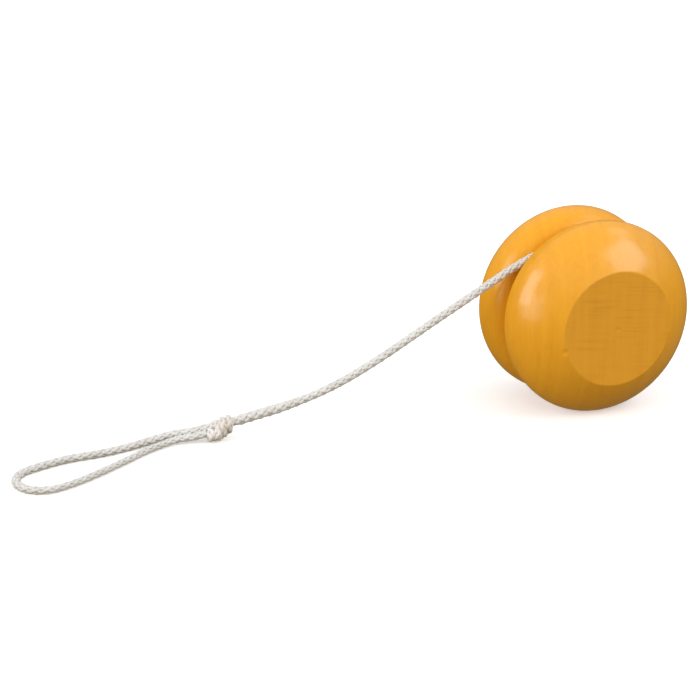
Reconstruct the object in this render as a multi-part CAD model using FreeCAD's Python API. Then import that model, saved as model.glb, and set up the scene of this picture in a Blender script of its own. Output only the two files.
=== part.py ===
import FreeCAD, Part
import math
import os

# A turned wooden yo-yo standing on its two rims, with its string partly paid out to a finger loop.
# Units are millimetres. +Z is up and the origin is on the floor, under the middle of the yo-yo.
# The axle lies along Y: the front half is on the -Y side, and the string leaves towards -X.

Vector = FreeCAD.Vector

# Turned halves: radii from the axle, and distances from the middle plane between the halves.
RIM_RADIUS = 25.0
RIM_OFFSET = 8.5
FACE_RADIUS = 14.75
FACE_OFFSET = 19.2
SHOULDER_FACE_HANDLE = 6.6
SHOULDER_FACE_ANGLE = math.radians(28.0)
SHOULDER_RIM_HANDLE = 3.1
WALL_OFFSET = 1.3
WALL_RADIUS = 20.4
CENTRE_MARK_RADIUS = 0.7
CENTRE_MARK_DEPTH = 0.5

# Dowel axle, glued into a blind bore in each half.
AXLE_RADIUS = 4.0
AXLE_HALF_LENGTH = 12.6
AXLE_CHAMFER = 0.8
BORE_OFFSET = 13.0
DRILL_POINT_ANGLE = math.radians(59.0)

# Braided string and the part of it that is tied round the axle and wound on.
CORD_RADIUS = 1.0
AXLE_CLEARANCE = 0.3
HITCH_RADIUS = 6.2
WINDING_PITCH = 2.0
EXIT_RADIUS = 19.0
EXIT_ANGLE = math.radians(108.0)
EXIT_RUN = 11.0
WINDING_ARCS = 8

# Knot that closes the finger loop. The string enters one flat end and both strands leave the other.
KNOT_ENTRY = Vector(-92.4, 3.8, 4.5)
KNOT_EXIT = Vector(-100.0, 4.6, 2.7)
KNOT_ENTRY_RADIUS = 1.7
KNOT_RADIUS = 3.4
KNOT_EXIT_RADIUS = 2.25
KNOT_ENTRY_RUN = 4.9
KNOT_EXIT_RUN = 2.9
STRAND_SPACING = 2.2
STRAND_TILT = Vector(0.0, 0.86, 0.5)
TAIL_RADIUS = 0.8
TAIL_BASE = Vector(-95.6, 4.1, 5.0)
TAIL_TIP = Vector(-94.9, 3.9, 7.1)

# Hand-placed points of the free string, from the winding down to the knot and round the loop.
RUN_POINTS = [
    Vector(-30.0, 1.0, 31.6),
    Vector(-43.0, 1.7, 24.0),
    Vector(-56.0, 2.2, 16.3),
    Vector(-68.0, 2.7, 10.4),
    Vector(-79.0, 3.2, 7.1),
]
LOOP_POINTS = [
    Vector(-106.8, 7.3, 1.4),
    Vector(-111.6, 7.3, 1.0),
    Vector(-118.3, 4.9, 1.0),
    Vector(-126.5, 2.8, 1.0),
    Vector(-134.6, 2.5, 1.0),
    Vector(-141.8, 0.0, 1.0),
    Vector(-147.3, -2.4, 1.0),
    Vector(-149.7, -7.5, 1.0),
    Vector(-147.8, -12.7, 1.0),
    Vector(-142.7, -14.9, 1.0),
    Vector(-136.7, -13.1, 1.0),
    Vector(-129.3, -8.7, 1.0),
    Vector(-122.0, -3.6, 1.0),
    Vector(-115.3, 1.3, 1.0),
    Vector(-110.4, 3.9, 1.0),
    Vector(-106.6, 4.9, 1.0),
]
ARC_SHARE = 0.45

ALONG_AXLE = Vector(0.0, 1.0, 0.0)
AXLE_CENTRE = Vector(0.0, 0.0, RIM_RADIUS)


def unit(vector):
    return vector * (1.0 / vector.Length)


def line(start, end):
    return Part.LineSegment(start, end).toShape()


def revolve_about_axle(edges):
    """Turn a closed profile, drawn as (radius, distance along Y), into a solid on the axle."""
    face = Part.Face(Part.Wire(edges))
    solid = face.revolve(Vector(0.0, 0.0, 0.0), ALONG_AXLE, 360.0)
    solid.translate(AXLE_CENTRE)
    return solid


def polygon_edges(corners):
    return [line(start, end) for start, end in zip(corners, corners[1:] + corners[:1])]


def make_half(side):
    """One turned half: bun-shaped outside, flared lip and flat wall towards the string."""

    def at(radius, offset):
        return Vector(radius, side * offset, 0.0)

    wall = at(WALL_RADIUS, WALL_OFFSET)
    rim = at(RIM_RADIUS, RIM_OFFSET)
    face_edge = at(FACE_RADIUS, FACE_OFFSET)
    lip = Part.ArcOfEllipse(Part.Ellipse(wall, rim, at(WALL_RADIUS, RIM_OFFSET)), 0.0, math.pi / 2)
    shoulder = Part.BezierCurve()
    shoulder.setPoles([
        rim,
        at(RIM_RADIUS, RIM_OFFSET + SHOULDER_RIM_HANDLE),
        at(
            FACE_RADIUS + SHOULDER_FACE_HANDLE * math.cos(SHOULDER_FACE_ANGLE),
            FACE_OFFSET - SHOULDER_FACE_HANDLE * math.sin(SHOULDER_FACE_ANGLE),
        ),
        face_edge,
    ])
    mark_edge = at(CENTRE_MARK_RADIUS, FACE_OFFSET)
    mark_bottom = at(0.0, FACE_OFFSET - CENTRE_MARK_DEPTH)
    drill_tip = at(0.0, BORE_OFFSET + AXLE_RADIUS / math.tan(DRILL_POINT_ANGLE))
    bore_end = at(AXLE_RADIUS, BORE_OFFSET)
    bore_mouth = at(AXLE_RADIUS, WALL_OFFSET)
    return revolve_about_axle([
        line(bore_mouth, wall),
        lip.toShape(),
        shoulder.toShape(),
        line(face_edge, mark_edge),
        line(mark_edge, mark_bottom),
        line(mark_bottom, drill_tip),
        line(drill_tip, bore_end),
        line(bore_end, bore_mouth),
    ])


def make_axle():
    """Plain dowel with chamfered ends, a little shorter than the two bores together."""
    shoulder = AXLE_HALF_LENGTH - AXLE_CHAMFER
    end_radius = AXLE_RADIUS - AXLE_CHAMFER
    return revolve_about_axle(polygon_edges([
        Vector(0.0, -AXLE_HALF_LENGTH, 0.0),
        Vector(end_radius, -AXLE_HALF_LENGTH, 0.0),
        Vector(AXLE_RADIUS, -shoulder, 0.0),
        Vector(AXLE_RADIUS, shoulder, 0.0),
        Vector(end_radius, AXLE_HALF_LENGTH, 0.0),
        Vector(0.0, AXLE_HALF_LENGTH, 0.0),
    ]))


def make_hitch():
    """The loop of string round the axle, as a plain ring that runs free of it."""
    inner = AXLE_RADIUS + AXLE_CLEARANCE
    return revolve_about_axle(polygon_edges([
        Vector(inner, -CORD_RADIUS, 0.0),
        Vector(HITCH_RADIUS, -CORD_RADIUS, 0.0),
        Vector(HITCH_RADIUS, CORD_RADIUS, 0.0),
        Vector(inner, CORD_RADIUS, 0.0),
    ]))


def winding_edge(turn):
    """Point on the outside of the winding, `turn` turns before the string leaves it."""
    angle = EXIT_ANGLE - 2.0 * math.pi * turn
    radius = EXIT_RADIUS + CORD_RADIUS - WINDING_PITCH * turn
    return Vector(radius * math.cos(angle), -CORD_RADIUS, radius * math.sin(angle))


def make_winding():
    """String wound in a single layer of turns: a disc with a spiral edge and a step at the exit."""
    edges = []
    for index in range(WINDING_ARCS):
        turns = [(index + share) / WINDING_ARCS for share in (0.0, 0.5, 1.0)]
        edges.append(Part.Arc(*[winding_edge(turn) for turn in turns]).toShape())
    edges.append(line(winding_edge(1.0), winding_edge(0.0)))
    width = 2.0 * CORD_RADIUS
    disc = Part.Face(Part.Wire(edges)).extrude(ALONG_AXLE * width)
    hole = Part.makeCylinder(HITCH_RADIUS, width, Vector(0.0, -CORD_RADIUS, 0.0), ALONG_AXLE)
    solid = disc.cut(hole).Solids[0]
    solid.translate(AXLE_CENTRE)
    return solid


def cord_wire(name, points):
    """Straight runs joined by tangent arcs, each as large as its two runs allow."""
    edges = []
    radii = []
    start = points[0]
    for before, corner, after in zip(points, points[1:], points[2:]):
        back = before - corner
        ahead = after - corner
        half_turn = (math.pi - back.getAngle(ahead)) / 2.0
        cut = ARC_SHARE * min(back.Length, ahead.Length)
        radius = cut / math.tan(half_turn)
        arc_start = corner + unit(back) * cut
        arc_end = corner + unit(ahead) * cut
        to_middle = radius / math.cos(half_turn) - radius
        middle = corner + unit(unit(back) + unit(ahead)) * to_middle
        edges.append(line(start, arc_start))
        edges.append(Part.Arc(arc_start, middle, arc_end).toShape())
        radii.append(radius)
        start = arc_end
    edges.append(line(start, points[-1]))
    print(name, "arc radii:", " ".join("%.1f" % radius for radius in radii))
    return Part.Wire(edges)


def make_tube(name, points):
    """Round cord along a wire, with its volume compared with its section times its length."""
    wire = cord_wire(name, points)
    circle = Part.Circle(points[0], points[1] - points[0], CORD_RADIUS).toShape()
    tube = wire.makePipeShell([Part.Wire([circle])], True, False)
    expected = math.pi * CORD_RADIUS ** 2 * wire.Length
    print(name, "length %.1f mm, volume %.1f of %.1f mm3" % (wire.Length, tube.Volume, expected))
    return tube


def run_route():
    """From the outer turn of the winding, straight off along its tangent, down to the knot."""
    leaving = Vector(-math.sin(EXIT_ANGLE), 0.0, math.cos(EXIT_ANGLE))
    outer_turn = Vector(math.cos(EXIT_ANGLE), 0.0, math.sin(EXIT_ANGLE)) * EXIT_RADIUS
    start = AXLE_CENTRE + outer_turn
    into_knot = unit(KNOT_EXIT - KNOT_ENTRY)
    last_point = KNOT_ENTRY - into_knot * KNOT_ENTRY_RUN
    return [start, start + leaving * EXIT_RUN] + RUN_POINTS + [last_point, KNOT_ENTRY]


def loop_route():
    """Out of the knot along the far strand, round the end of the loop and back."""
    along = unit(KNOT_EXIT - KNOT_ENTRY)
    across = unit(STRAND_TILT - along * STRAND_TILT.dot(along)) * (STRAND_SPACING / 2.0)
    far_start = KNOT_EXIT + across
    near_end = KNOT_EXIT - across
    step = along * KNOT_EXIT_RUN
    return [far_start, far_start + step] + LOOP_POINTS + [near_end + step, near_end]


def make_knot():
    """Drawn-up overhand knot, as a barrel with a flat end for the string to meet."""
    length = (KNOT_EXIT - KNOT_ENTRY).Length
    entry_edge = Vector(KNOT_ENTRY_RADIUS, 0.0, 0.0)
    exit_edge = Vector(KNOT_EXIT_RADIUS, 0.0, length)
    belly = Vector(KNOT_RADIUS, 0.0, length / 2.0)
    entry = Vector(0.0, 0.0, 0.0)
    exit_end = Vector(0.0, 0.0, length)
    edges = [
        line(entry, entry_edge),
        Part.Arc(entry_edge, belly, exit_edge).toShape(),
        line(exit_edge, exit_end),
        line(exit_end, entry),
    ]
    up = Vector(0.0, 0.0, 1.0)
    barrel = Part.Face(Part.Wire(edges)).revolve(entry, up, 360.0)
    turn = FreeCAD.Rotation(up, KNOT_EXIT - KNOT_ENTRY)
    barrel.Placement = FreeCAD.Placement(KNOT_ENTRY, turn)
    return barrel


def make_tail(knot):
    """Cut end of the string, standing out of the top of the knot."""
    along = TAIL_TIP - TAIL_BASE
    stub = Part.makeCylinder(TAIL_RADIUS, along.Length, TAIL_BASE, along)
    return stub.cut(knot).Solids[0]


def main():
    knot = make_knot()
    nodes = {
        "front_half": make_half(-1.0),
        "back_half": make_half(1.0),
        "axle": make_axle(),
        "string_hitch": make_hitch(),
        "string_winding": make_winding(),
        "string_run": make_tube("string_run", run_route()),
        "finger_knot": knot,
        "finger_loop": make_tube("finger_loop", loop_route()),
        "string_tail": make_tail(knot),
    }
    os.makedirs("parts", exist_ok=True)
    for name, shape in nodes.items():
        print("%-15s valid %s, solids %d, volume %.1f mm3" % (
            name, shape.isValid(), len(shape.Solids), shape.Volume))
        shape.exportStep("parts/%s.step" % name)


main()
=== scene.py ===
import math

import bmesh
import bpy
import numpy as np
from mathutils import Matrix, Vector


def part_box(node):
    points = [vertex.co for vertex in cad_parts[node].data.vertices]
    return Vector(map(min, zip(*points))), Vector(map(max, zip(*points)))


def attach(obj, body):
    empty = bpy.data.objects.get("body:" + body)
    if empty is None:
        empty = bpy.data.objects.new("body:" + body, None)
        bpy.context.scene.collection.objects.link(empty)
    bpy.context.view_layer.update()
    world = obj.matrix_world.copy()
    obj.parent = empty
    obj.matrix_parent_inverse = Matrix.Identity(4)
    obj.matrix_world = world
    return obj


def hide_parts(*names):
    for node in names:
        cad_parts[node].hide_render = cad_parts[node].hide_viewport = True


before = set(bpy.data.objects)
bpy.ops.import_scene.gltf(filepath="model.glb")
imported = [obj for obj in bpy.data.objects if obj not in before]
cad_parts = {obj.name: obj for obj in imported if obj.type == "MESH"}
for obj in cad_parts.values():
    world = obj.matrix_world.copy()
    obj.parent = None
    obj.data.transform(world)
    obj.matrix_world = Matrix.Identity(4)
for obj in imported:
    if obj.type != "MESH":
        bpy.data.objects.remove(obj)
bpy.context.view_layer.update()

# A turned wooden yo-yo that stands on its two rims, with its braided string wound on the axle
# and paid out to a knotted finger loop. Units are metres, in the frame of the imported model:
# +Z is up, the axle lies along Y and the string leaves towards -X.

MM = 0.001

FRONT_LOW, FRONT_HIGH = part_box("front_half")
RIM_RADIUS = (FRONT_HIGH.z - FRONT_LOW.z) / 2
AXLE_CENTRE = Vector((0.0, 0.0, FRONT_LOW.z + RIM_RADIUS))
FACE_OFFSET = -FRONT_LOW.y
WALL_OFFSET = -FRONT_HIGH.y
AXLE_RADIUS = (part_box("axle")[1].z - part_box("axle")[0].z) / 2

# Turned profile of one half: radii from the axle, offsets from the middle plane.
RIM_OFFSET = 8.5 * MM
WALL_RADIUS = 20.4 * MM
FACE_RADIUS = 14.75 * MM
SHOULDER_FACE_HANDLE = 6.6 * MM
SHOULDER_FACE_ANGLE = math.radians(28.0)
SHOULDER_RIM_HANDLE = 3.1 * MM
FACE_EDGE_ROUNDING = 0.25 * MM
CENTRE_MARK_RADIUS = 0.45 * MM
CENTRE_MARK_DEPTH = 0.2 * MM
BORE_OFFSET = 13.0 * MM
DRILL_POINT_ANGLE = math.radians(59.0)
ZONES = ("face", "side", "lip", "bore")
TURNED_SEGMENTS = 288
SHOULDER_STEPS = 72
LIP_STEPS = 30

# The string: one cord from the hitch on the axle to the end of the finger loop.
HITCH_TURN_RADIUS = 5.3 * MM
EXIT_RADIUS = 19.0 * MM
EXIT_ANGLE = math.radians(108.0)
EXIT_RUN = 11.0 * MM
WINDING_PITCH = 2.0 * MM
POINTS_PER_TURN = 24
LINE_STEPS_PER_POINT = 24

KNOT_ENTRY = Vector((-0.0924, 0.0038, 0.0045))
KNOT_EXIT = Vector((-0.1000, 0.0046, 0.0027))
KNOT_ENTRY_RUN = 4.9 * MM
KNOT_EXIT_RUN = 2.9 * MM
STRAND_SPACING = 2.0 * MM
STRAND_TILT = Vector((0.0, 0.93, 0.36))
KNOT_ALONG = (KNOT_EXIT - KNOT_ENTRY).normalized()

# Points of the free string, from the winding down to the knot and round the loop.
RUN_POINTS = [
    Vector((-0.0300, 0.0010, 0.0316)),
    Vector((-0.0430, 0.0017, 0.0240)),
    Vector((-0.0560, 0.0022, 0.0163)),
    Vector((-0.0680, 0.0027, 0.0104)),
    Vector((-0.0790, 0.0032, 0.0071)),
]
LOOP_POINTS = [
    Vector((-0.1068, 0.0073, 0.0019)),
    Vector((-0.1116, 0.0073, 0.0012)),
    Vector((-0.1183, 0.0049, 0.0010)),
    Vector((-0.1265, 0.0028, 0.0010)),
    Vector((-0.1346, 0.0025, 0.0010)),
    Vector((-0.1418, 0.0000, 0.0010)),
    Vector((-0.1469, -0.0024, 0.0010)),
    Vector((-0.1491, -0.0075, 0.0010)),
    Vector((-0.1473, -0.0127, 0.0010)),
    Vector((-0.1427, -0.0149, 0.0010)),
    Vector((-0.1367, -0.0131, 0.0010)),
    Vector((-0.1293, -0.0087, 0.0010)),
    Vector((-0.1220, -0.0036, 0.0010)),
    Vector((-0.1153, 0.0013, 0.0010)),
    Vector((-0.1104, 0.0039, 0.0010)),
    Vector((-0.1066, 0.0049, 0.0014)),
]

# Eight-strand braid: four strands wind each way, over one and under one. A strand orbits the
# middle of the cord, rises and widens where it rides over, and sinks and narrows where it dips.
BRAID_PITCH = 9.6 * MM
STRANDS_EACH_WAY = 4
STRAND_ORBIT = 0.6 * MM
STRAND_RISE = 0.17 * MM
STRAND_HALF_WIDTH = 0.43 * MM
STRAND_HALF_THICKNESS = 0.26 * MM
STRAND_WIDENING = 0.1
STRAND_SIDES = 8
KNOT_SWELL = 1.2
TAIL_SWELL = 0.48
TAIL_FLARE = 0.1
TAIL_RINGS = 12

# How thick the braid lies, by the distance from the end of the loop: it is drawn thin where it
# comes back to the knot, and is worn loose where the run goes into the knot.
SWELL_FROM_END = [2.0 * MM, 12.0 * MM, 42.0 * MM, 56.0 * MM,
                  118.0 * MM, 121.0 * MM, 130.0 * MM, 138.0 * MM]
SWELL = [1.02, 0.9, 0.9, 1.05, 1.05, 1.36, 1.36, 1.1]

# Distance between the rings of the braid, on the outer turn and the free string, and below it.
VISIBLE_STEP = 0.4 * MM
BURIED_STEP = 1.2 * MM

# The saw cut crossed the flat faces at a small slope, and the front one has a nicked edge.
SAW_TILT = math.radians(-6.4)
NICK_CENTRE = Vector((-FACE_RADIUS + 0.4 * MM, -FACE_OFFSET + 0.1 * MM,
                      AXLE_CENTRE.z - 4.5 * MM))
NICK_RADIUS = 0.9 * MM
NICK_DEPTH = 0.22 * MM

# Lacquer: full on the outer side of a half, and thinned out over the inner lip.
SIDE_COAT = 0.7
FRONT_LIP_COAT = 0.05
BACK_LIP_COAT = 0.45
SIDE_SPECULAR = 0.25
LIP_SPECULAR_PER_COAT = 0.3
COAT_THIN_OFFSET = RIM_OFFSET - 3.5 * MM
COAT_FULL_OFFSET = RIM_OFFSET + 2.5 * MM

# Each half comes from another part of the plank: where its rings centre, and its own noise.
FRONT_PITH = (-0.22, 0.03, 0.0)
FRONT_SHIFT = (0.3, 0.1, 0.7)
BACK_PITH = (0.19, -0.05, 0.0)
BACK_SHIFT = (0.9, 0.4, 0.2)
RING_SPACING = 2.6 * MM
RING_WANDER = 1.6 * MM
RING_STRETCH = (1.0, 1.0, 0.03)

# Grains of noise per metre along X, Y and Z. Wood fibres, pores and rings run up the halves.
CLOUD_GRAIN = (45.0, 45.0, 30.0)
FIBRE_GRAIN = (1100.0, 1100.0, 60.0)
PORE_GRAIN = (2400.0, 2400.0, 110.0)
RING_WANDER_GRAIN = (70.0, 70.0, 25.0)
WEAR_GRAIN = (160.0, 160.0, 160.0)
SAW_LINE_GRAIN = (80.0, 0.0, 3300.0)
SAW_PATCH_GRAIN = (120.0, 0.0, 330.0)
DOWEL_GRAIN = (1800.0, 90.0, 1800.0)
GRIME_GRAIN = (240.0, 240.0, 240.0)

# Grains of noise per turn round a strand, and per millimetre along it.
FILAMENT_GRAIN = (26.0, 0.55, 1.0)

# Most values of a noise lie in this range. Roughness goes from the first value to the second.
NOISE_RANGE = (0.3, 0.7)
SIDE_ROUGHNESS = (0.3, 0.38)
FACE_ROUGHNESS = (0.5, 0.65)
DOWEL_ROUGHNESS = (0.55, 0.75)
YARN_ROUGHNESS = (0.42, 0.6)
COAT_ROUGHNESS = 0.17

# How far the fine relief of each surface stands out.
SIDE_RELIEF = 0.012 * MM
FACE_RELIEF = 0.02 * MM
DOWEL_RELIEF = 0.04 * MM
YARN_RELIEF = 0.05 * MM

# How far rings, fibres and clouds go towards the deep colour, and pores to their own, at most.
RING_DEPTH = 0.3
FIBRE_DEPTH = 0.45
CLOUD_DEPTH = 0.22
PORE_DEPTH = 0.13

# The saw lines are stronger at the upper of these two heights than at the lower.
SAW_HEIGHTS = (12.0 * MM, 30.0 * MM)
SAW_STRENGTHS = (0.13, 0.2)

# Colours, as linear red, green, blue and alpha.
SIDE_PALE = (0.91, 0.415, 0.024, 1.0)
SIDE_DEEP = (0.80, 0.340, 0.013, 1.0)
FACE_PALE = (0.85, 0.388, 0.025, 1.0)
FACE_DEEP = (0.77, 0.332, 0.017, 1.0)
PORE_COLOUR = (0.36, 0.13, 0.008, 1.0)
SCORED_COLOUR = (0.42, 0.155, 0.008, 1.0)
DOWEL_PALE = (0.62, 0.42, 0.22, 1.0)
DOWEL_DEEP = (0.45, 0.27, 0.12, 1.0)
YARN_CLEAN = (0.75, 0.74, 0.725, 1.0)
YARN_GRIMY = (0.62, 0.59, 0.55, 1.0)
HANDLED_CLEAN = (0.84, 0.80, 0.77, 1.0)
HANDLED_GRIMY = (0.64, 0.57, 0.50, 1.0)
# Painted shade: the dark colour put into the gaps between the filaments of the yarn.
PAINTED_GAP_SHADE = (0.30, 0.28, 0.26, 1.0)
WHITE = (1.0, 1.0, 1.0, 1.0)

# How grimy the yarn is in its patches, and how strong the painted shade between its filaments
# is.
YARN_GRIME = 0.5
HANDLED_GRIME = 0.7
FILAMENT_SHADE = 0.25

# The studio: a round floor with a screen round it, the lights and the camera. The lens and
# the sensor are in millimetres.
STAGE_RADIUS = 6.0
STAGE_SIDES = 48
LIGHT_DISTANCE = 2.4
CAMERA_PLACE = (-0.2017, -0.3792, 0.1596)
CAMERA_TILT = math.radians(71.03)
CAMERA_TURN = math.radians(-19.98)
LENS_LENGTH = 88.9
SENSOR_WIDTH = 36.0

# Radiance of the surroundings overhead, and at and below the horizon.
SKY_ABOVE = (0.72, 0.72, 0.72, 1.0)
SKY_BELOW = (0.21, 0.165, 0.08, 1.0)


def nurbs_line(name, points):
    """Points read along a smooth NURBS line through space, drawn from its control points."""
    curve = bpy.data.curves.new(name, "CURVE")
    curve.dimensions = "3D"
    curve.resolution_u = LINE_STEPS_PER_POINT
    spline = curve.splines.new("NURBS")
    spline.points.add(len(points) - 1)
    for control, point in zip(spline.points, points):
        control.co = (*point, 1.0)
    spline.order_u = 3
    spline.use_endpoint_u = True
    drawn = bpy.data.objects.new(name, curve)
    mesh = bpy.data.meshes.new_from_object(drawn)
    line = np.empty(len(mesh.vertices) * 3)
    mesh.vertices.foreach_get("co", line)
    bpy.data.objects.remove(drawn)
    bpy.data.curves.remove(curve)
    bpy.data.meshes.remove(mesh)
    return line.reshape(-1, 3)


def distances_along(line):
    """Distance of each point of the line from its start."""
    steps = np.linalg.norm(np.diff(line, axis=0), axis=1)
    return np.concatenate([[0.0], np.cumsum(steps)])


def line_at(line, wanted):
    """Points of the line at the wanted distances from its start."""
    distance = distances_along(line)
    return np.stack([np.interp(wanted, distance, line[:, axis]) for axis in range(3)], axis=1)


def winding_points():
    """Control points of the turns on the axle, from the hitch out to where the string leaves."""
    turns = (EXIT_RADIUS - HITCH_TURN_RADIUS) / WINDING_PITCH
    step = 1.0 / POINTS_PER_TURN
    count = int(turns / step)
    outside = 1.0 / math.cos(math.pi * step)
    points = []
    for index in range(count, -1, -1):
        turn = (index + 0.5) * step
        angle = EXIT_ANGLE - 2.0 * math.pi * turn
        radius = (EXIT_RADIUS - WINDING_PITCH * turn) * outside
        radial = Vector((math.cos(angle), 0.0, math.sin(angle)))
        points.append(AXLE_CENTRE + radial * radius)
    return points


def run_points():
    """Off the outer turn along its tangent, then down to the knot."""
    leaving = Vector((-math.sin(EXIT_ANGLE), 0.0, math.cos(EXIT_ANGLE)))
    outward = Vector((math.cos(EXIT_ANGLE), 0.0, math.sin(EXIT_ANGLE)))
    start = AXLE_CENTRE + outward * EXIT_RADIUS
    last = KNOT_ENTRY - KNOT_ALONG * KNOT_ENTRY_RUN
    return [start, start + leaving * EXIT_RUN] + RUN_POINTS + [last, KNOT_ENTRY]


def loop_points():
    """Out of the knot along the far strand, round the finger loop and back into the knot."""
    across = STRAND_TILT - KNOT_ALONG * STRAND_TILT.dot(KNOT_ALONG)
    across = across.normalized() * (STRAND_SPACING / 2.0)
    step = KNOT_ALONG * KNOT_EXIT_RUN
    far_start = KNOT_EXIT + across
    near_end = KNOT_EXIT - across
    return [far_start, far_start + step] + LOOP_POINTS + [near_end + step, near_end]


def frames_along(line):
    """Unit tangents with two unit normals that are carried along the line without twist."""
    tangents = np.gradient(line, axis=0)
    tangents /= np.linalg.norm(tangents, axis=1)[:, None]
    seed = np.array([0.0, 1.0, 0.0])
    normals = np.empty_like(tangents)
    for index, tangent in enumerate(tangents):
        seed = seed - tangent * seed.dot(tangent)
        seed = seed / np.linalg.norm(seed)
        normals[index] = seed
    return tangents, normals, np.cross(tangents, normals)


def tube_faces(rings, sides, first):
    """Quads between neighbouring rings of a tube, and a cap at each end."""
    faces = []
    for ring in range(rings - 1):
        for side in range(sides):
            beside = (side + 1) % sides
            low = first + ring * sides
            faces.append((low + side, low + beside, low + sides + beside, low + sides + side))
    last = first + (rings - 1) * sides
    faces.append(tuple(first + side for side in reversed(range(sides))))
    faces.append(tuple(last + side for side in range(sides)))
    return faces


def mesh_object(name, vertices, faces, material):
    """A smooth-shaded mesh with one material, put into the scene."""
    mesh = bpy.data.meshes.new(name)
    mesh.from_pydata([tuple(vertex) for vertex in vertices], [], faces)
    mesh.polygons.foreach_set("use_smooth", [True] * len(mesh.polygons))
    mesh.materials.append(material)
    piece = bpy.data.objects.new(name, mesh)
    bpy.context.scene.collection.objects.link(piece)
    return piece


def strand_rings(line, distance, frames, hand, index, swell):
    """Rings of one flat strand that winds round the cord and waves over and under the others."""
    tangents, normals, binormals = frames
    turn = 2.0 * math.pi / BRAID_PITCH
    apart = 2.0 * math.pi / STRANDS_EACH_WAY
    start = apart * index + (0.0 if hand > 0 else apart / 2.0)
    angle = start + hand * turn * distance
    wave = hand * np.sin(STRANDS_EACH_WAY * turn * distance)
    orbit = (STRAND_ORBIT + STRAND_RISE * wave) * swell
    outward = np.cos(angle)[:, None] * normals + np.sin(angle)[:, None] * binormals
    around = np.cos(angle)[:, None] * binormals - np.sin(angle)[:, None] * normals
    along = tangents + hand * turn * orbit[:, None] * around
    along /= np.linalg.norm(along, axis=1)[:, None]
    sideways = np.cross(outward, along)
    width = STRAND_HALF_WIDTH * swell * (1.0 + STRAND_WIDENING * wave)
    thickness = STRAND_HALF_THICKNESS * swell
    centre = line + outward * orbit[:, None]
    rings = []
    for side in range(STRAND_SIDES):
        phase = 2.0 * math.pi * side / STRAND_SIDES
        offset = sideways * (width * math.cos(phase))[:, None]
        offset += outward * (thickness * math.sin(phase))[:, None]
        rings.append(centre + offset)
    return np.stack(rings, axis=1).reshape(-1, 3)


def set_strand_map(mesh, distance, strands):
    """UV map for the filaments: round the strand in U, along it in millimetres in V."""
    layer = mesh.uv_layers.new(name="strand")
    per_strand = len(distance) * STRAND_SIDES
    faces_per_strand = (len(distance) - 1) * STRAND_SIDES + 2
    values = np.zeros(len(mesh.loops) * 2)
    for strand in range(strands):
        first = strand * faces_per_strand
        for face in range(faces_per_strand):
            polygon = mesh.polygons[first + face]
            side = face % STRAND_SIDES
            for loop, vertex in zip(polygon.loop_indices, polygon.vertices):
                local = vertex - strand * per_strand
                ring, place = divmod(local, STRAND_SIDES)
                if place == 0 and side == STRAND_SIDES - 1:
                    place = STRAND_SIDES
                values[2 * loop] = place / STRAND_SIDES + strand
                values[2 * loop + 1] = distance[ring] / MM
    layer.data.foreach_set("uv", values)


def braided_cord(name, line, distance, swell, material):
    """Eight flat strands braided round a line, as one mesh."""
    frames = frames_along(line)
    vertices = []
    faces = []
    for hand in (1, -1):
        for index in range(STRANDS_EACH_WAY):
            first = sum(len(part) for part in vertices)
            vertices.append(strand_rings(line, distance, frames, hand, index, swell))
            faces += tube_faces(len(line), STRAND_SIDES, first)
    piece = mesh_object(name, np.concatenate(vertices), faces, material)
    set_strand_map(piece.data, distance, 2 * STRANDS_EACH_WAY)
    return piece


def make_string(material):
    """The whole string: hitch, wound turns, free run and finger loop."""
    wound = winding_points()
    route = wound + run_points() + loop_points()
    line = nurbs_line("string_route", route)
    total = distances_along(line)[-1]
    outer_turn = 2.0 * math.pi * EXIT_RADIUS
    wound_length = distances_along(np.array([tuple(point) for point in wound]))[-1]
    buried = wound_length - outer_turn
    coarse = np.arange(0.0, buried, BURIED_STEP)
    fine = np.linspace(buried, total, int((total - buried) / VISIBLE_STEP))
    distance = np.concatenate([coarse, fine])
    smooth = line_at(line, distance)
    swell = np.interp(total - distance, SWELL_FROM_END, SWELL)
    piece = braided_cord("string_cord", smooth, distance, swell, material)
    return piece, [tuple(point) for point in line]


def add_node(tree, kind, inputs=None, **properties):
    """Add a shader node. An input is set to a value, or linked where a socket is given."""
    node = tree.nodes.new("ShaderNode" + kind)
    for name, value in properties.items():
        setattr(node, name, value)
    for name, value in (inputs or {}).items():
        if isinstance(value, bpy.types.NodeSocket):
            tree.links.new(value, node.inputs[name])
        else:
            node.inputs[name].default_value = value
    return node


def new_material(name, **constants):
    """A Principled material, with its tree and shader, and constant inputs set by name."""
    material = bpy.data.materials.new(name)
    material.use_nodes = True
    tree = material.node_tree
    shader = tree.nodes["Principled BSDF"]
    for key, value in constants.items():
        shader.inputs[key.replace("_", " ")].default_value = value
    return material, tree, shader


def math_node(tree, operation, first, second=0.0):
    """Result of a math operation on one or two values or sockets."""
    node = add_node(tree, "Math", {0: first, 1: second}, operation=operation)
    return node.outputs[0]


def remap(tree, value, low, high, new_low, new_high):
    """The value, stretched from low and high to the new low and high, and held between them."""
    inputs = {0: value, 1: low, 2: high, 3: new_low, 4: new_high}
    return add_node(tree, "MapRange", inputs, clamp=True).outputs[0]


def mix_colours(tree, factor, first, second):
    """The first colour at factor 0, the second at factor 1."""
    node = add_node(tree, "Mix", {0: factor, 6: first, 7: second}, data_type="RGBA")
    return node.outputs[2]


def stretched_noise(tree, place, scale, detail, offset=(0.0, 0.0, 0.0)):
    """Noise whose grains per metre along X, Y and Z are given by scale."""
    moved = add_node(tree, "Mapping", {"Vector": place, "Location": offset, "Scale": scale})
    inputs = {"Vector": moved.outputs[0], "Scale": 1.0, "Detail": detail, "Roughness": 0.55}
    return add_node(tree, "TexNoise", inputs).outputs["Fac"]


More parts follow.
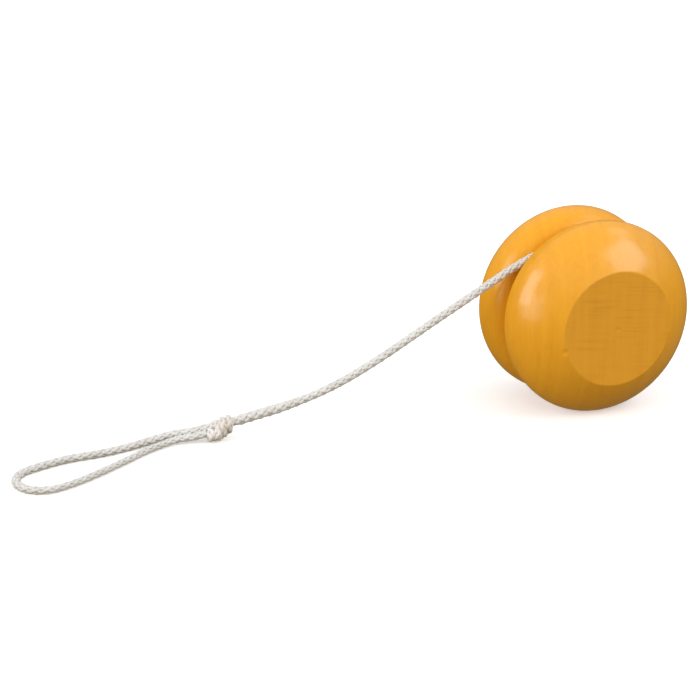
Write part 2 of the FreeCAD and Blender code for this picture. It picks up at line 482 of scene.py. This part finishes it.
def add_bump(tree, shader, height, distance):
    """Fine relief: a height of 1 stands out by the distance."""
    inputs = {"Height": height, "Distance": distance, "Strength": 1.0}
    bump = add_node(tree, "Bump", inputs)
    tree.links.new(bump.outputs[0], shader.inputs["Normal"])


def growth_rings(tree, place, pith):
    """Irregular rings round a far-off pith that runs along Z, as a value from 0 to 1."""
    inputs = {0: place, 1: pith}
    from_pith = add_node(tree, "VectorMath", inputs, operation="SUBTRACT").outputs[0]
    inputs = {0: from_pith, 1: RING_STRETCH}
    flat = add_node(tree, "VectorMath", inputs, operation="MULTIPLY").outputs[0]
    radius = add_node(tree, "VectorMath", {0: flat}, operation="LENGTH").outputs["Value"]
    wander = stretched_noise(tree, place, RING_WANDER_GRAIN, 1.0)
    wander = math_node(tree, "MULTIPLY", wander, RING_WANDER)
    radius = math_node(tree, "ADD", radius, wander)
    count = math_node(tree, "DIVIDE", radius, RING_SPACING)
    inputs = {"W": count, "Scale": 1.0, "Detail": 2.0, "Roughness": 0.5}
    return add_node(tree, "TexNoise", inputs, noise_dimensions="1D").outputs["Fac"]


def wood_base(tree, place, pith, shift, pale, deep):
    """Colour of the stained wood, with its fibres and pores as values for the relief."""
    rings = growth_rings(tree, place, pith)
    fibres = stretched_noise(tree, place, FIBRE_GRAIN, 3.0, shift)
    clouds = stretched_noise(tree, place, CLOUD_GRAIN, 2.0, shift)
    depth = math_node(tree, "ADD", remap(tree, rings, *NOISE_RANGE, 0.0, RING_DEPTH),
                      remap(tree, fibres, 0.25, 0.75, 0.0, FIBRE_DEPTH))
    depth = math_node(tree, "ADD", depth, remap(tree, clouds, 0.35, 0.65, 0.0, CLOUD_DEPTH))
    colour = mix_colours(tree, depth, pale, deep)
    pores = stretched_noise(tree, place, PORE_GRAIN, 1.0, shift)
    dark = remap(tree, pores, 0.6, 0.78, 0.0, PORE_DEPTH)
    colour = mix_colours(tree, dark, colour, PORE_COLOUR)
    return colour, fibres, pores


def turned_wood(name, pith, shift, specular, lip_coat):
    """Amber stained, fine-grained wood. Its satin lacquer thins out over the inner lip."""
    material, tree, shader = new_material(
        name, Specular_IOR_Level=specular, Coat_Roughness=COAT_ROUGHNESS, Coat_IOR=1.45)
    place = add_node(tree, "TexCoord").outputs["Object"]
    along_axle = add_node(tree, "SeparateXYZ", {0: place}).outputs["Y"]
    offset = math_node(tree, "ABSOLUTE", along_axle)
    coat = remap(tree, offset, COAT_THIN_OFFSET, COAT_FULL_OFFSET, lip_coat, SIDE_COAT)
    tree.links.new(coat, shader.inputs["Coat Weight"])
    colour, fibres, pores = wood_base(tree, place, pith, shift, SIDE_PALE, SIDE_DEEP)
    tree.links.new(colour, shader.inputs["Base Color"])
    wear = stretched_noise(tree, place, WEAR_GRAIN, 3.0, shift)
    roughness = remap(tree, wear, *NOISE_RANGE, *SIDE_ROUGHNESS)
    tree.links.new(roughness, shader.inputs["Roughness"])
    height = math_node(tree, "SUBTRACT", fibres, math_node(tree, "MULTIPLY", pores, 0.6))
    add_bump(tree, shader, height, SIDE_RELIEF)
    return material


def saw_marks(tree, place, shift):
    """Broken fine lines in patches, close to level and about half a millimetre apart."""
    turned = add_node(tree, "Mapping", {"Vector": place, "Rotation": (0.0, SAW_TILT, 0.0)})
    lines = stretched_noise(tree, turned.outputs[0], SAW_LINE_GRAIN, 0.0, shift)
    patches = stretched_noise(tree, turned.outputs[0], SAW_PATCH_GRAIN, 1.0, shift)
    return math_node(tree, "MULTIPLY", remap(tree, lines, 0.5, 0.64, 0.0, 1.0),
                     remap(tree, patches, 0.4, 0.62, 0.2, 1.0))


def sawn_wood(name, pith, shift):
    """The flat face: duller stain with fine saw lines along X, strongest towards the top."""
    material, tree, shader = new_material(
        name, Specular_IOR_Level=0.3, Coat_Weight=0.05, Coat_Roughness=0.35)
    place = add_node(tree, "TexCoord").outputs["Object"]
    colour, fibres, _ = wood_base(tree, place, pith, shift, FACE_PALE, FACE_DEEP)
    height_above = add_node(tree, "SeparateXYZ", {0: place}).outputs["Z"]
    strength = remap(tree, height_above, *SAW_HEIGHTS, *SAW_STRENGTHS)
    scored = math_node(tree, "MULTIPLY", saw_marks(tree, place, shift), strength)
    colour = mix_colours(tree, scored, colour, SCORED_COLOUR)
    tree.links.new(colour, shader.inputs["Base Color"])
    roughness = remap(tree, fibres, *NOISE_RANGE, *FACE_ROUGHNESS)
    tree.links.new(roughness, shader.inputs["Roughness"])
    height = math_node(tree, "SUBTRACT", math_node(tree, "MULTIPLY", fibres, 0.3), scored)
    add_bump(tree, shader, height, FACE_RELIEF)
    return material


def bare_wood(name):
    """Pale unstained dowel and drilled bore, with long fibres along the axle."""
    material, tree, shader = new_material(name)
    place = add_node(tree, "TexCoord").outputs["Object"]
    fibres = stretched_noise(tree, place, DOWEL_GRAIN, 3.0)
    depth = remap(tree, fibres, *NOISE_RANGE, 0.0, 1.0)
    colour = mix_colours(tree, depth, DOWEL_PALE, DOWEL_DEEP)
    tree.links.new(colour, shader.inputs["Base Color"])
    roughness = remap(tree, fibres, *NOISE_RANGE, *DOWEL_ROUGHNESS)
    tree.links.new(roughness, shader.inputs["Roughness"])
    add_bump(tree, shader, fibres, DOWEL_RELIEF)
    return material


def cord_material(name, clean, grimy, grime):
    """White braided yarn: fine filaments along each strand with painted shade in the gaps
    between them, a trace of sheen and some grime.
    """
    material, tree, shader = new_material(name, Sheen_Weight=0.03, Sheen_Roughness=0.4)
    strand = add_node(tree, "UVMap", uv_map="strand").outputs[0]
    filaments = stretched_noise(tree, strand, FILAMENT_GRAIN, 2.0)
    place = add_node(tree, "TexCoord").outputs["Object"]
    patches = stretched_noise(tree, place, GRIME_GRAIN, 3.0)
    colour = mix_colours(tree, remap(tree, patches, 0.4, 0.7, 0.0, grime), clean, grimy)
    # Painted shade: the yarn darkens where the filament relief is low, in the gaps between
    # filaments.
    between = remap(tree, filaments, 0.25, 0.5, FILAMENT_SHADE, 0.0)
    colour = mix_colours(tree, between, colour, PAINTED_GAP_SHADE)
    tree.links.new(colour, shader.inputs["Base Color"])
    roughness = remap(tree, filaments, *NOISE_RANGE, *YARN_ROUGHNESS)
    tree.links.new(roughness, shader.inputs["Roughness"])
    add_bump(tree, shader, filaments, YARN_RELIEF)
    return material


def arc_points(centre, radii, start, end, count):
    """Points on a quarter or less of an ellipse, from angle start to angle end."""
    points = []
    for index in range(count + 1):
        angle = start + (end - start) * index / count
        points.append((centre[0] + radii[0] * math.cos(angle),
                       centre[1] + radii[1] * math.sin(angle)))
    return points


def bezier_points(poles, shares):
    """Points of the Bezier curve with these poles, at the given shares of its way."""
    degree = len(poles) - 1
    points = []
    for share in shares:
        weights = [math.comb(degree, power) * share ** power * (1.0 - share) ** (degree - power)
                   for power in range(degree + 1)]
        points.append(tuple(sum(weight * pole[axis] for weight, pole in zip(weights, poles))
                            for axis in (0, 1)))
    return points


def shoulder_points():
    """Flank from the rim in to the edge of the flat face."""
    poles = [
        (RIM_RADIUS, RIM_OFFSET),
        (RIM_RADIUS, RIM_OFFSET + SHOULDER_RIM_HANDLE),
        (FACE_RADIUS + SHOULDER_FACE_HANDLE * math.cos(SHOULDER_FACE_ANGLE),
         FACE_OFFSET - SHOULDER_FACE_HANDLE * math.sin(SHOULDER_FACE_ANGLE)),
        (FACE_RADIUS, FACE_OFFSET),
    ]
    return bezier_points(poles, [index / SHOULDER_STEPS for index in range(SHOULDER_STEPS + 1)])


def face_points(flank_end):
    """The centre mark, the flat face and its rounded edge, out to the end of the flank."""
    mark = [(0.0, FACE_OFFSET - CENTRE_MARK_DEPTH), (CENTRE_MARK_RADIUS, FACE_OFFSET)]
    flat = [(FACE_RADIUS * share, FACE_OFFSET) for share in (0.06, 0.2, 0.4, 0.6, 0.8, 0.94)]
    flat.append((FACE_RADIUS - 2.0 * FACE_EDGE_ROUNDING, FACE_OFFSET))
    edge = (FACE_RADIUS, FACE_OFFSET)
    rounding_start = (FACE_RADIUS - FACE_EDGE_ROUNDING, FACE_OFFSET)
    rounding = bezier_points([flank_end, edge, rounding_start], (1.0, 0.8, 0.6, 0.4, 0.2))
    return mark + flat + rounding


def inside_points():
    """The rounded inner lip and the inner wall, down to the mouth of the bore."""
    lip_radii = (RIM_RADIUS - WALL_RADIUS, RIM_OFFSET - WALL_OFFSET)
    lip = arc_points((WALL_RADIUS, RIM_OFFSET), lip_radii, 0.0, -math.pi / 2.0, LIP_STEPS)
    wall = [(AXLE_RADIUS + (WALL_RADIUS - AXLE_RADIUS) * share, WALL_OFFSET)
            for share in (0.98, 0.7, 0.35, 0.02, 0.0)]
    return lip[1:] + wall


def half_profile():
    """The profile in zones, from the middle of the outer face round to the tip of the bore."""
    shoulder = shoulder_points()
    flank = [point for point in shoulder
             if math.dist(point, shoulder[-1]) > FACE_EDGE_ROUNDING]
    bore_tip = BORE_OFFSET + AXLE_RADIUS / math.tan(DRILL_POINT_ANGLE)
    return {
        "face": face_points(flank[-1]),
        "side": flank[::-1],
        "lip": inside_points(),
        "bore": [(AXLE_RADIUS, BORE_OFFSET), (0.0, bore_tip)],
    }


def nicked(point):
    """The point, pressed in where the nick is."""
    away = (point - NICK_CENTRE).length / NICK_RADIUS
    if away < 1.0:
        point.y += NICK_DEPTH * (1.0 - away ** 2)
    return point


def turned_ring(body, radius, height):
    """One ring of points about the axle, or a single point on it, repeated."""
    if radius == 0.0:
        return [body.verts.new((0.0, height, AXLE_CENTRE.z))] * TURNED_SEGMENTS
    ring = []
    for index in range(TURNED_SEGMENTS):
        angle = 2.0 * math.pi * index / TURNED_SEGMENTS
        point = Vector((radius * math.cos(angle), height,
                        AXLE_CENTRE.z + radius * math.sin(angle)))
        ring.append(body.verts.new(nicked(point)))
    return ring


def join_rings(body, inner, outer, zone):
    """Faces between two neighbouring rings, in the material of their zone."""
    for index in range(TURNED_SEGMENTS):
        beside = (index + 1) % TURNED_SEGMENTS
        corners = [inner[index], outer[index], outer[beside], inner[beside]]
        face = body.faces.new(list(dict.fromkeys(corners)))
        face.smooth = True
        face.material_index = ZONES.index(zone)


def make_half(name, side, materials):
    """One turned half, revolved about the axle, with a material for each zone of its profile."""
    body = bmesh.new()
    rings = []
    zones = []
    for zone, points in half_profile().items():
        rings += [turned_ring(body, radius, side * offset) for radius, offset in points]
        zones += [zone] * len(points)
    for inner, outer, zone in zip(rings, rings[1:], zones[1:]):
        join_rings(body, inner, outer, zone)
    bmesh.ops.recalc_face_normals(body, faces=body.faces)
    mesh = bpy.data.meshes.new(name)
    body.to_mesh(mesh)
    body.free()
    for zone in ZONES:
        mesh.materials.append(materials[zone])
    piece = bpy.data.objects.new(name, mesh)
    bpy.context.scene.collection.objects.link(piece)
    return piece


# Axes of the knot: along the string, and up and to the front, leaning back a little.
KNOT_LEAN = math.radians(23.0)
KNOT_LEVEL_UP = (Vector((0.0, 0.0, 1.0)) - KNOT_ALONG * KNOT_ALONG.z).normalized()
KNOT_UP = Matrix.Rotation(KNOT_LEAN, 3, KNOT_ALONG) @ KNOT_LEVEL_UP
KNOT_FRONT = KNOT_UP.cross(KNOT_ALONG)
KNOT_MIDDLE = (KNOT_ENTRY + KNOT_EXIT) / 2.0

# Route of the wraps, in millimetres along, up and to the front: two full turns, then one
# over the back and two bights that bulge low towards the loop. Both ends are tucked inside.
KNOT_ROUTE = [
    (-2.6, -0.3, -0.6),
    (-2.7, 0.5, -0.6),
    (-2.4, 0.75, 0.4),
    (-2.05, -0.1, 1.3),
    (-1.7, -1.1, 1.05),
    (-1.35, -1.6, -0.2),
    (-1.4, -0.6, -1.4),
    (-1.1, 0.6, -1.2),
    (-0.9, 1.15, 0.0),
    (-0.6, 0.5, 1.3),
    (-0.3, -0.7, 1.7),
    (-0.1, -1.9, 1.0),
    (0.3, -2.2, -0.4),
    (0.9, -1.1, -1.5),
    (1.5, 0.2, -1.3),
    (1.5, 0.85, -0.6),
    (0.7, 0.8, 0.0),
    (0.3, 0.1, 0.9),
    (0.9, -1.2, 1.6),
    (1.5, -2.4, 1.3),
    (1.7, -2.2, 0.0),
    (2.2, -1.6, -1.1),
    (2.6, -0.8, -0.8),
    (2.7, -0.7, 0.4),
    (2.9, -1.4, 1.4),
    (3.1, -2.2, 1.2),
    (3.0, -1.7, -0.4),
    (2.2, -1.4, -0.5),
    (1.4, -1.0, -0.1),
]


def knot_place(along, up, front):
    """A point near the knot, in millimetres along its axis, upwards and to the front."""
    offset = KNOT_ALONG * along + KNOT_UP * up + KNOT_FRONT * front
    return KNOT_MIDDLE + offset * MM


def make_knot(material):
    """Wraps of the doubled string, drawn up round the strands that pass through the knot."""
    line = nurbs_line("knot_route", [knot_place(*point) for point in KNOT_ROUTE])
    total = distances_along(line)[-1]
    distance = np.linspace(0.0, total, int(total / VISIBLE_STEP))
    swell = np.full(len(distance), KNOT_SWELL)
    return braided_cord("loop_knot", line_at(line, distance), distance, swell, material)


def make_tail(material):
    """Cut end of the string, just standing out of the knot."""
    points = [
        knot_place(-1.4, -0.2, -0.4),
        knot_place(-1.9, 0.7, -0.4),
        knot_place(-2.3, 1.4, -0.3),
        knot_place(-2.6, 2.0, -0.2),
    ]
    line = nurbs_line("tail_route", points)
    total = distances_along(line)[-1]
    distance = np.linspace(0.0, total, TAIL_RINGS)
    swell = TAIL_SWELL + TAIL_FLARE * (distance / total) ** 2
    return braided_cord("cord_tail", line_at(line, distance), distance, swell, material)


def stage_object(name, vertices, faces, material):
    """A plain part of the studio that neither shades, lights nor mirrors in the yo-yo."""
    part = mesh_object(name, vertices, faces, material)
    part.visible_diffuse = False
    part.visible_glossy = False
    part.visible_shadow = False


def stage_material(name, base, glow):
    """A matt pale surface that glows a little, so that it stays pale in every view."""
    material, _, shader = new_material(name, Roughness=0.85, Specular_IOR_Level=0.1)
    shader.inputs["Base Color"].default_value = (base, base, base, 1.0)
    shader.inputs["Emission Color"].default_value = WHITE
    shader.inputs["Emission Strength"].default_value = glow
    return material


def make_stage():
    """A pale floor with a plain white screen all round it."""
    turns = [2.0 * math.pi * index / STAGE_SIDES for index in range(STAGE_SIDES)]
    ring = [(STAGE_RADIUS * math.cos(turn), STAGE_RADIUS * math.sin(turn)) for turn in turns]
    low = [(x, y, 0.0) for x, y in ring]
    high = [(x, y, STAGE_RADIUS) for x, y in ring]
    walls = []
    for index in range(STAGE_SIDES):
        beside = (index + 1) % STAGE_SIDES
        walls.append((index, beside, STAGE_SIDES + beside, STAGE_SIDES + index))
    floor = stage_material("pale_floor", 0.88, 0.4)
    screen = stage_material("white_screen", 0.8, 0.9)
    stage_object("floor", low, [tuple(range(STAGE_SIDES))], floor)
    stage_object("screen", low + high, walls, screen)


def add_softbox(name, azimuth, elevation, width, height, radiance):
    """A rectangular light aimed at the yo-yo. Azimuth 0 is at -Y and 90 at +X, in degrees."""
    turn = math.radians(azimuth)
    rise = math.radians(elevation)
    direction = Vector((math.sin(turn) * math.cos(rise), -math.cos(turn) * math.cos(rise),
                        math.sin(rise)))
    light = bpy.data.lights.new(name, "AREA")
    light.shape = "RECTANGLE"
    light.size = width
    light.size_y = height
    light.energy = radiance * math.pi * width * height
    lamp = bpy.data.objects.new(name, light)
    lamp.location = AXLE_CENTRE + direction * LIGHT_DISTANCE
    lamp.rotation_euler = direction.to_track_quat("Z", "Y").to_euler()
    bpy.context.scene.collection.objects.link(lamp)


def make_lights():
    """Two windows, two low fills and one light high at the right, each a soft rectangle."""
    add_softbox("window_right", 51.0, 40.0, 1.5, 1.2, 3.3)
    add_softbox("window_left", -84.0, 24.0, 1.3, 1.5, 4.2)
    add_softbox("front_left_low", -65.0, 6.0, 1.2, 1.0, 2.4)
    add_softbox("front_low", 15.0, 12.0, 1.2, 1.2, 2.4)
    add_softbox("back_high", 92.0, 55.0, 0.7, 0.7, 1.7)


def make_world():
    """Soft surroundings: pale overhead, much dimmer at the horizon and below."""
    world = bpy.data.worlds.new("studio")
    world.use_nodes = True
    tree = world.node_tree
    direction = add_node(tree, "TexCoord").outputs["Generated"]
    height = add_node(tree, "SeparateXYZ", {0: direction}).outputs["Z"]
    colour = mix_colours(tree, remap(tree, height, 0.0, 0.6, 0.0, 1.0), SKY_BELOW, SKY_ABOVE)
    tree.links.new(colour, tree.nodes["Background"].inputs["Color"])
    bpy.context.scene.world = world


def make_camera():
    """Near the front left, a little above the yo-yo, turned and tilted towards it."""
    lens = bpy.data.cameras.new("camera")
    lens.lens = LENS_LENGTH
    lens.sensor_width = SENSOR_WIDTH
    lens.clip_start = 0.01
    lens.clip_end = 50.0
    camera = bpy.data.objects.new("camera", lens)
    camera.location = CAMERA_PLACE
    camera.rotation_euler = (CAMERA_TILT, 0.0, CAMERA_TURN)
    bpy.context.scene.collection.objects.link(camera)
    bpy.context.scene.camera = camera


def add_string():
    """The string with its knot and cut end, in place of the CAD's six string solids."""
    clean = cord_material("cord_yarn", YARN_CLEAN, YARN_GRIMY, YARN_GRIME)
    handled = cord_material("handled_yarn", HANDLED_CLEAN, HANDLED_GRIMY, HANDLED_GRIME)
    cord, path = make_string(clean)
    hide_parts("string_hitch", "string_winding", "string_run", "finger_loop")
    knot = make_knot(handled)
    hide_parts("finger_knot")
    tail = make_tail(handled)
    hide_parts("string_tail")
    for piece in (cord, knot, tail):
        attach(piece, "string")


def add_half(name, side, pith, shift, lip_coat, bare):
    """One half in its materials, in place of the CAD's."""
    lip_specular = LIP_SPECULAR_PER_COAT * lip_coat
    half = make_half(name + "_turned", side, {
        "face": sawn_wood(name + "_face", pith, shift),
        "side": turned_wood(name + "_side", pith, shift, SIDE_SPECULAR, lip_coat),
        "lip": turned_wood(name + "_lip", pith, shift, lip_specular, lip_coat),
        "bore": bare,
    })
    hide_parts(name)
    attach(half, "yoyo")


def add_wood():
    """Both halves, each cut from another part of the plank, and the bare dowel between them."""
    bare = bare_wood("bare_dowel")
    add_half("front_half", -1.0, FRONT_PITH, FRONT_SHIFT, FRONT_LIP_COAT, bare)
    add_half("back_half", 1.0, BACK_PITH, BACK_SHIFT, BACK_LIP_COAT, bare)
    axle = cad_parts["axle"]
    axle.data.materials.clear()
    axle.data.materials.append(bare)


make_camera()
make_lights()
make_world()
make_stage()
bpy.context.scene.view_settings.view_transform = "Standard"
add_string()
add_wood()
